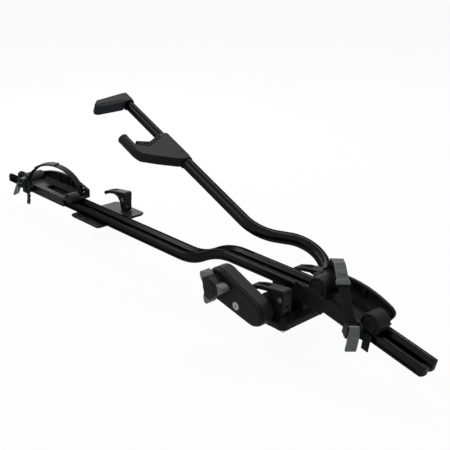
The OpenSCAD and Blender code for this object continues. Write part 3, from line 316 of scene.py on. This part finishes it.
# Front foot: a glass filled nylon moulding with a rubber pad below. Its barrel holds two plain
# bushes that the arm's tube turns in.
rubber = moulded_finish("rubber", (0.016, 0.0172, 0.0205), 0.72, (0.028, 0.03, 0.035),
                        grain=2200.0, depth=0.1)
wear(rubber, "front_foot_pad")
acetal = moulded_finish("acetal", (0.24, 0.24, 0.245), 0.4, (0.3, 0.3, 0.3))
wear(acetal, "pivot_bushes")
BEVEL_FROM = math.radians(35)


def slab(outline, low, high, bevel=0.0):
    """A plate in millimetres: a flat outline, extruded and bevelled."""
    bpy.ops.object.select_all(action="DESELECT")
    bpy.ops.mesh.primitive_circle_add(vertices=len(outline), fill_type="NGON")
    plate = bpy.context.object
    for corner, (x, y) in zip(plate.data.vertices, outline):
        corner.co = (x, y, low)
    bpy.ops.object.mode_set(mode="EDIT")
    bpy.ops.mesh.select_all(action="SELECT")
    bpy.ops.mesh.extrude_region_move(TRANSFORM_OT_translate={"value": (0, 0, high - low)})
    bpy.ops.mesh.select_all(action="SELECT")
    bpy.ops.mesh.normals_make_consistent(inside=False)
    bpy.ops.object.mode_set(mode="OBJECT")
    if bevel:
        apply(plate, "BEVEL", width=bevel, segments=2, limit_method="ANGLE",
              angle_limit=BEVEL_FROM)
    return plate


def box(low, high):
    """A block in millimetres between two corners."""
    (left, near, bottom), (right, far, top) = low, high
    return slab([(left, near), (right, near), (right, far), (left, far)], bottom, top)


def carve(piece, *cutters):
    """Cuts the shapes of other pieces out of one, and takes them away."""
    for cutter in cutters:
        apply(piece, "BOOLEAN", operation="DIFFERENCE", object=cutter, solver="EXACT")
        bpy.data.objects.remove(cutter)


def foot_details(piece):
    """A shallow line round the base above its lower lip."""
    line = box((-70, -100, 8.4), (70, 100, 9.6))
    carve(line, box((-53.2, -88.7, 8), (53.2, 88.7, 10)))
    carve(piece, line)


moulded("front_foot", "root", "black_plastic", black_plastic, voxel=1.2, passes=5,
        work=foot_details)

# Clamp levers: moulded cams with a finger hole, each on a pin through an eye bolt whose square
# nut runs in the bar's track. A lock core in the lever's side keeps it shut.
nickel = plated("nickel", (0.3, 0.31, 0.32), 0.34)
black_zinc = plated("black_zinc", (0.03, 0.03, 0.032), 0.34)
for side in ("near", "far", "rear"):
    wear(black_zinc, side + "_eye_bolt", side + "_lever_pin")
    wear(zinc, side + "_t_nut")
    wear(nickel, side + "_lever_lock")
    moulded(side + "_lever", side + "_lever_body", "black_plastic", black_plastic, voxel=0.7,
            passes=5)

# Frame arm: one aluminium tube bent twice in a mandrel bender and black anodised, with a steel
# collar at the foot and a plain sleeve at its upper end. The knob's cable runs inside it.
tube_black = anodised("tube_black", (0.0115, 0.0115, 0.012), (300, 300, 300), 0.46)
wear(tube_black, "arm_tube")
wear(zinc, "pivot_collar", "drive_cable", "puller_rod")
wear(black_plastic, "tube_collar", "hub_spacer")

# Knob housing: two mouldings screwed together from behind round the spool, with the arm's lock
# set in the cover. It swings with the arm, so it is worked on in the arm's own frame.
PIVOT = (0, 0, 0.039)
ARM_TILT = 24.6
ARM = Matrix.Translation(PIVOT) @ Matrix.Rotation(math.radians(ARM_TILT), 4, "Y")


def housing_details(piece):
    """The joint between the cap round the pivot and the long body."""
    carve(piece, box((-13.2, -117.5, 20.4), (-12, -92.5, 26)),
          box((-13.2, -100.6, 12), (26, -99.4, 26)))


moulded("knob_housing", "arm", "black_plastic", black_plastic, voxel=1.0,
        work=housing_details, place=ARM)


def cover_details(piece):
    """A fine step all round, where the cover drops into the body."""
    centre = Matrix.Translation((-46, 0, -11))
    smaller = Matrix.Diagonal((0.976, 1, 0.966, 1))
    piece.data.transform(centre @ smaller @ centre.inverted())


moulded("housing_cover", "arm", "black_plastic", black_plastic, voxel=0.8,
        work=cover_details, place=ARM)
wear(zinc, "cover_screws")
wear(nickel, "arm_lock_core")

# Knob: a black moulded core with three grey tips pressed on, keyed to a steel shaft that turns
# the clutch and the cable's spool inside the housing.
grey_plastic = moulded_finish("grey_plastic", (0.155, 0.158, 0.167), 0.42, (0.28, 0.28, 0.29),
                              specular=0.1)
KNOB = ARM @ Matrix.Translation((-0.093, 0, -0.0175))
UPRIGHT = Matrix.Rotation(math.pi / 2, 4, "X")
CORE_R, HOLLOW_R, LOBE_RISE = 25, 20, 19
LOBES, FIRST_LOBE = 3, 36
FINE = 45


def arc(centre, radius, start, stop, steps):
    """Points along an arc, in degrees."""
    turns = [math.radians(start + (stop - start) * i / steps) for i in range(steps + 1)]
    return [(centre[0] + radius * math.cos(t), centre[1] + radius * math.sin(t)) for t in turns]


def circle(centre, radius, sides):
    """Points round a circle."""
    return arc(centre, radius, 0, 360 - 360 / sides, sides - 1)


def upright(outline, low, high, bevel=0.0):
    """A slab that stands up, with its outline in x and z and its thickness across y."""
    plate = slab(outline, low, high, bevel)
    plate.data.transform(UPRIGHT)
    return plate


def polar(radius, turn):
    """A point at a radius and a turn in degrees."""
    return radius * math.cos(math.radians(turn)), radius * math.sin(math.radians(turn))


def lobed(turn, limit=math.inf):
    """A point on the knob's outline: three lobes with hollow sides, cut off at a radius."""
    wave = (1 + math.cos(math.radians(LOBES * (turn - FIRST_LOBE)))) / 2
    return polar(min(HOLLOW_R + LOBE_RISE * wave ** 3, limit), turn)


def join(piece, *others):
    """Joins other pieces into one."""
    pick(piece)
    for other in others:
        other.select_set(True)
    bpy.ops.object.join()


core = upright([lobed(turn, CORE_R) for turn in range(0, 360, 3)], low=127, high=149.4,
               bevel=1.6)
foot = upright(circle((0, 0), 24, FINE), low=126.7, high=129.6, bevel=0.6)
face = upright(circle((0, 0), 15, FINE), low=149, high=150.6, bevel=0.7)
join(core, foot, face)
core.name = "knob_core_moulding"
soften(core, voxel=0.6, passes=3)
core.data.transform(KNOB @ MM)
done(core, "knob", "black_plastic", black_plastic, "knob_core")

TIP_HALF, TIP_GAP = 24, 0.15
tips = []
for lobe in range(LOBES):
    middle = FIRST_LOBE + 120 * lobe
    rim = [lobed(middle + turn) for turn in range(-TIP_HALF, TIP_HALF + 1, 3)]
    seat = [polar(CORE_R + TIP_GAP, middle + turn) for turn in range(TIP_HALF, -TIP_HALF - 1, -6)]
    tips.append(upright(rim + seat, low=128.6, high=149.2, bevel=2.2))
join(*tips)
tips[0].name = "knob_tips_moulding"
pick(tips[0])
bpy.ops.object.shade_smooth_by_angle(angle=math.radians(28))
tips[0].data.transform(KNOB @ MM)
done(tips[0], "knob", "grey_plastic", grey_plastic, "knob_tips")
wear(zinc, "knob_shaft", "clutch_plate", "cable_spool")

# Claws: two nylon mouldings that grip the bicycle's down tube. The lower one is screwed to the
# tube's end, the upper one slides out on the inner tube, and rubber pads line the jaw.
ALONG_X = Matrix(((0, 0, 1, 0), (1, 0, 0, 0), (0, 1, 0, 0), (0, 0, 0, 1)))
FINGER, FINGER_BORE = (-55.5, 4), 8.6
COARSE = 24


def along(outline, low, high):
    """A bar along x, with its outline in y and z."""
    bar = slab(outline, low, high)
    bar.data.transform(ALONG_X)
    return bar


def finger_bar(radius, low, high):
    """A round bar on the finger's own line."""
    return along(circle(FINGER, radius, FINE), low, high)


def claw_details(piece):
    """A hollow and a thicker rim at the finger's end, and its round edge run on in the plate."""
    carve(piece, finger_bar(FINGER_BORE, -547, -543.4))
    corner = box((-505, -70, -10), (-470, -55.6, 17))
    carve(corner, finger_bar(12.3, -506, -469))
    carve(piece, corner)
    rim = finger_bar(12.9, -545.2, -542.4)
    carve(rim, finger_bar(FINGER_BORE, -547, -540))
    join(piece, rim)


moulded("lower_claw", "arm", "black_plastic", black_plastic, voxel=0.9, passes=16,
        work=claw_details, place=ARM)
moulded("upper_claw", "jaw", "black_plastic", black_plastic, voxel=0.8, passes=14, place=ARM)
claw_rubber = moulded_finish("claw_rubber", (0.022, 0.0245, 0.031), 0.6, (0.05, 0.054, 0.064),
                             grain=2200.0, depth=0.06)


def level_pad(piece):
    """The pad's edge stands level with the plate's top."""
    piece.data.transform(Matrix.Scale(1.16, 4, (0, 0, 1)))


moulded("lower_claw_pad", "arm", "black_rubber", claw_rubber, voxel=0.5, passes=1, keep=0.6,
        work=level_pad, place=ARM)
PAD_HOLES, PAD_PITCH, PAD_HOLE = 7, 7.6, 4.4


def pad_holes(piece):
    """A row of holes through the pad's top edge, behind its teeth."""
    for row in range(PAD_HOLES):
        low = -44 + row * PAD_PITCH
        corners = [(-664.6, low), (-664.6, low + PAD_HOLE), (-661, low + PAD_HOLE / 2)]
        carve(piece, slab(corners, 9, 20))


moulded("upper_claw_pad", "jaw", "black_rubber", claw_rubber, voxel=0.5, passes=2,
        work=pad_holes, place=ARM)
screw_black = moulded_finish("screw_black", (0.004, 0.004, 0.0042), 0.5, (0.008, 0.008, 0.0085))
screw = slab(circle((-447, 42), 2.8, COARSE), low=14, high=17, bevel=0.5)
screw.data.transform(ARM @ MM)
screw.name = "claw_screw"
screw.data.materials.append(screw_black)
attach(screw, "arm")

TUBE_LINE, SLOT_TURN = (0, 43, 0), -22
tube = solid_copy("inner_tube", "slotted_inner_tube")
tube.data.transform((ARM @ MM).inverted())
slot_cut = box((-604, -2, 10.7), (-530, 2, 15))
slot_cut.data.transform(Matrix.Translation(TUBE_LINE)
                        @ Matrix.Rotation(math.radians(SLOT_TURN), 4, "X"))
carve(tube, slot_cut)
pick(tube)
bpy.ops.object.shade_smooth_by_angle(angle=math.radians(30))
tube.data.transform(ARM @ MM)
done(tube, "jaw", "satin_black", tube_black, "inner_tube")

# Front wheel holder: a moulded cradle clipped over the rail's nose and screwed from the far side.
# Two humps hold the tyre, a pocketed wing guards the far side and a bare plate the near side.
NOSE_AT, NOSE_TILT = (0.061639, 0, 0.054066), 12.6
NOSE = Matrix.Translation(NOSE_AT) @ Matrix.Rotation(math.radians(NOSE_TILT), 4, "Y")
SKIRT, WING_BACK = -30, 35.5
RIM_WIDE, POCKET_DEEP = 2, 1.3


def skirt_joint(left, low, high):
    """A fine upright joint to be cut in the near skirt."""
    return box((left, SKIRT - 2, low), (left + 1.4, SKIRT, high))


def wing_pocket(left, right, high):
    """A shallow pocket to be cut in the wing's back."""
    return box((left, WING_BACK - POCKET_DEEP, 10), (right, WING_BACK + 9, high))


def plate_rim(left, right, low, high, out):
    """Four bars round the bare plate, which stand a little out from the skirt."""
    face = SKIRT - out
    return (box((left, face, high - RIM_WIDE), (right, SKIRT, high)),
            box((left, face, low), (right, SKIRT, low + RIM_WIDE)),
            box((left, face, low), (left + RIM_WIDE, SKIRT, high)),
            box((right - RIM_WIDE, face, low), (right, SKIRT, high)))


def front_details(piece):
    """Sunk deck panels, shorter humps, pockets in a round ended wing, and the plate's rim."""
    for left, right in ((46, 76), (84, 110)):
        carve(piece, box((left, -22, 24.2), (right, 8, 30)))
    carve(piece, skirt_joint(62, -3, 19), skirt_joint(86, -3, 19))
    for left, right, low in ((-9, 37, 25.7), (120, 168, 25.7), (158.2, 168, 14)):
        carve(piece, box((left, 7, low), (right, 25.6, 58)))
    for left, right in ((32, 58), (64, 90), (96, 122), (128, 148)):
        carve(piece, wing_pocket(left, right, 42))
    wing_end = [(148, 18), (157, 38), (156.2, 43), (152, 48.5), (146, 51.5), (146, 75),
                (175, 75), (175, 18)]
    carve(piece, upright(wing_end, -40, -25.7))
    join(piece, box((-6, 6, 24), (22, 28, 50)), box((130, 6, 24), (150, 28, 36)))
    join(piece, *plate_rim(-38, 39, -12, 22, 2.3))


moulded("front_wheel_holder", "root", "black_plastic", black_plastic, voxel=1.05, keep=0.45,
        work=front_details, place=NOSE)
wear(zinc, "front_holder_screws")

# Front strap: a moulded ladder strap from a buckle on the near side, over the tyre's place, to
# an ear on the far side. A grey rim pad is threaded on it and its spare end hangs by the buckle.
strap_black = moulded_finish("strap_black", (0.013, 0.013, 0.0136), 0.45, (0.03, 0.03, 0.031),
                             grain=1800.0, depth=0.06)
FRONT_STRAP = (NOSE @ Matrix.Translation((0.123, -0.047, 0))
               @ Matrix.Rotation(math.radians(147.641), 4, "Z"))
STRAP_HALF, STRAP_THICK, TAIL_THICK = 11, 3, 2.6
SWING_FROM, SWING_DROP = 3, 30
EYE_R, PIN_HOLE_R, TOOTH_PITCH = 5, 2.06, 4.8
STRAP_VOXEL, LEVER_VOXEL = 0.0006, 0.0007  # in metres, as these are softened in their place
front_start, front_ear = (-4, 14.126), (155.081, 42)
bend_start, bend, bend_r, slope = (120.885, 72.727), (131.081, 51), 24, 25.139
run_x, run_z = 0.9053, 0.4248


def on_slope(start, walked):
    """A point some way along the strap's straight run."""
    return start[0] + run_x * walked, start[1] + run_z * walked


front_line = ([on_slope(front_start, walked) for walked in range(0, 137, 12)]
              + arc(bend, bend_r, 90 + slope, 0, 16) + [front_ear])


def band(line, thick, out=0.0):
    """The outline of a band along a line, shifted outwards from it."""
    sides = []
    for i, point in enumerate(line):
        run = Vector(line[min(i + 1, len(line) - 1)]) - Vector(line[max(i - 1, 0)])
        sides.append((Vector(point), Vector((-run.y, run.x)).normalized()))
    upper = [tuple(p + n * (out + thick / 2)) for p, n in sides]
    lower = [tuple(p + n * (out - thick / 2)) for p, n in reversed(sides)]
    return upper + lower


def ladder(line, first, last):
    """Teeth across a strap, each a small ramp, between two distances along its line."""
    teeth, walked, at = [], 0.0, first
    for a, b in zip(line, line[1:]):
        run = Vector(b) - Vector(a)
        while at <= last and walked + run.length > at:
            tooth = slab([(0, 0.6), (3.4, 0.6), (2.9, 2.9), (2.0, 2.9)], -8, 8)
            stand = Vector(a) + run * ((at - walked) / run.length)
            turn = Matrix.Rotation(math.atan2(run.y, run.x), 4, "Z")
            tooth.data.transform(UPRIGHT @ Matrix.Translation((stand.x, stand.y, 0)) @ turn)
            teeth.append(tooth)
            at += TOOTH_PITCH
        walked += run.length
    return teeth


def ladder_strap(name, line, first, last, clip, place):
    """A strap along its line, with an eye at its end, a clip in the buckle and ladder teeth."""
    strap = upright(band(line, STRAP_THICK), -STRAP_HALF, STRAP_HALF)
    eye = upright(circle(line[-1], EYE_R, COARSE), -STRAP_HALF, STRAP_HALF)
    join(strap, eye, box(*clip), *ladder(line, first, last))
    strap.data.transform(place @ MM)
    strap.name = name
    return strap


def add_tail(strap, hang, left, right, link, place, swing=0):
    """Joins on the spare end. It hangs from a short link and may swing back as it falls."""
    tail = along(band(hang, TAIL_THICK), left, right)
    for point in tail.data.vertices:
        point.co.x -= max(0, SWING_FROM - point.co.z) * swing / SWING_DROP
    join(tail, box(*link))
    tail.data.transform(place @ MM)
    join(strap, tail)
    soften(strap, STRAP_VOXEL, passes=2, keep=0.4)


strap = ladder_strap("front_ladder_strap", front_line, first=20, last=92,
                     clip=((-6, -13, 12.6), (2, 10, 15.6)), place=FRONT_STRAP)
front_hang = [(-36, 14), (-36.4, 20), (-36.9, 21), (-37.3, 18), (-37.6, 8), (-36.6, -4),
              (-35.2, -15)]
add_tail(strap, front_hang, left=145, right=161, link=((131, -37.1, 13), (154, -34.9, 15.2)),
         place=NOSE)
done(strap, "root", "strap_black", strap_black, "front_strap")


def rim_pad(name, line, plate, lip, lip_over, lips_at, rib, ribs_at, place):
    """A pad over the strap with two lips and some ribs, each with its thickness and height."""
    half = STRAP_HALF + 1
    pad = upright(band(line, *plate), -half, half)
    half = STRAP_HALF + lip_over
    lips = [upright(band(line[i:i + 2], *lip), -half, half) for i in lips_at]
    half = STRAP_HALF - 2
    ribs = [upright(band(line[i:i + 2], *rib), -half, half) for i in ribs_at]
    join(pad, *lips, *ribs)
    pad.data.transform(place @ MM)
    pad.name = name
    soften(pad, STRAP_VOXEL)
    return pad


pad_line = ([on_slope(bend_start, -back) for back in (41, 30, 20, 10)]
            + arc(bend, bend_r, 90 + slope, 52, 8))
pad = rim_pad("front_rim_pad", pad_line, plate=(2.6, 3.1), lip=(5.4, 2.4), lip_over=3,
              lips_at=(0, 10), rib=(3.6, 3.6), ribs_at=(2, 5, 8), place=FRONT_STRAP)
done(pad, "root", "grey_plastic", grey_plastic, "front_strap_pad")
wear(black_zinc, "front_strap_pins")
moulded("front_buckle", "root", "black_plastic", black_plastic, voxel=0.6, place=FRONT_STRAP)


def pull_lever(name, length, lean, pin, place):
    """A buckle's pull lever: an eye on the pin and a dished blade with a turned up end."""
    outer = [(4.6, -2), (3, 4), (-2, 5), (-6.2, 1), (-8, -8), (-9.2, -20), (-9, -length + 12),
             (-7.6, -length + 1), (-5.6, -length)]
    inner = [(-2.4, -length + 3), (-3.2, -length + 14), (-3.4, -20), (-1.6, -9), (2, -5)]
    lever = upright(outer + inner, -STRAP_HALF, STRAP_HALF, bevel=1.0)
    hole = upright(circle((0, 0), PIN_HOLE_R, COARSE), -30, 30)
    dish = box((-14, -8, -length + 7), (-7.6, 8, -14))
    carve(lever, hole, dish)
    lever.data.transform(Matrix.Translation((pin[0], 0, pin[1]))
                         @ Matrix.Rotation(math.radians(lean), 4, "Y"))
    lever.data.transform(place @ MM)
    lever.name = name
    soften(lever, LEVER_VOXEL)
    return lever


pull_grey = moulded_finish("pull_grey", (0.2, 0.204, 0.214), 0.42, (0.28, 0.28, 0.29),
                           specular=0.1)
lever = pull_lever("front_pull_lever", length=46, lean=8, pin=(-6, 24.5), place=FRONT_STRAP)
done(lever, "front_buckle_arm", "grey_plastic", pull_grey, "front_buckle_lever")

# Rear foot: a moulded plate with a combed edge and a rubber pad below. A steel slider screwed to
# it runs in the slot under the rail, so that it can be set to the rear bar.
moulded("rear_foot", "rear_foot_body", "black_plastic", black_plastic, voxel=0.9, passes=3)
wear(rubber, "rear_foot_pad")
wear(zinc, "rear_slider", "rear_slider_screws")

# Rear wheel holder: a longer moulded cradle with an open deck. It grips the tracks in the rail's
# sides and slides along them to suit the wheelbase.
REAR = Matrix.Translation((0, 0, 0.0082))


def rear_details(piece):
    """Joints in the near skirt, pockets in the wing's back and the rim round the bare plate."""
    carve(piece, skirt_joint(-906, 1, 20), skirt_joint(-952, 1, 20))
    for left in range(-1004, -800, 36):
        carve(piece, wing_pocket(left, left + 28, 40))
    join(piece, *plate_rim(-893, -829, 2.6, 23.4, 2.2))


moulded("rear_wheel_holder", "rear_holder", "black_plastic", black_plastic, voxel=1.15,
        keep=0.45, work=rear_details, place=REAR)

# Rear strap: a longer ladder strap that arches over the rear tyre's place, with its own pad,
# buckle and pale lever. Its spare end hangs down past the rail.
REAR_STRAP = (REAR @ Matrix.Translation((-0.981, -0.0485, 0))
              @ Matrix.Rotation(math.radians(23.343), 4, "Z"))
arch, arch_r, rear_ear = (95.4, 4.8), 94, (182.976, 34)
rear_line = arc(arch, arch_r, 160, 21.3, 40) + [rear_ear]
strap = ladder_strap("rear_ladder_strap", rear_line, first=10, last=80,
                     clip=((4, -10, 34), (10, 10, 37)), place=REAR_STRAP)
rear_hang = [(-50, 40), (-50.3, 43.6), (-51, 44.4), (-51.6, 42), (-51.8, 30), (-51, 12),
             (-50, -6), (-49.6, -27)]
add_tail(strap, rear_hang, left=-970, right=-954, link=((-976, -51.1, 35), (-962, -48.9, 36.6)),
         place=REAR, swing=14)
done(strap, "rear_holder", "strap_black", strap_black, "rear_strap")

dark_grey = moulded_finish("dark_grey", (0.05, 0.051, 0.054), 0.45, (0.1, 0.1, 0.105))
pad_line = arc(arch, arch_r, 122, 82, 16)
pad = rim_pad("rear_rim_pad", pad_line, plate=(2.2, 3), lip=(3.6, 3.1), lip_over=2,
              lips_at=(0, 15), rib=(3.0, 3.2), ribs_at=(3, 6, 9, 12), place=REAR_STRAP)
done(pad, "rear_holder", "grey_plastic", dark_grey, "rear_strap_pad")
wear(black_zinc, "rear_strap_pins")
moulded("rear_buckle", "rear_holder", "black_plastic", black_plastic, voxel=0.6, place=REAR_STRAP)

light_grey = moulded_finish("light_grey", (0.19, 0.2, 0.215), 0.42, (0.3, 0.31, 0.32))
lever = pull_lever("rear_pull_lever", length=57, lean=26, pin=(-9, 43), place=REAR_STRAP)
done(lever, "rear_buckle_arm", "light_grey_plastic", light_grey, "rear_buckle_lever")
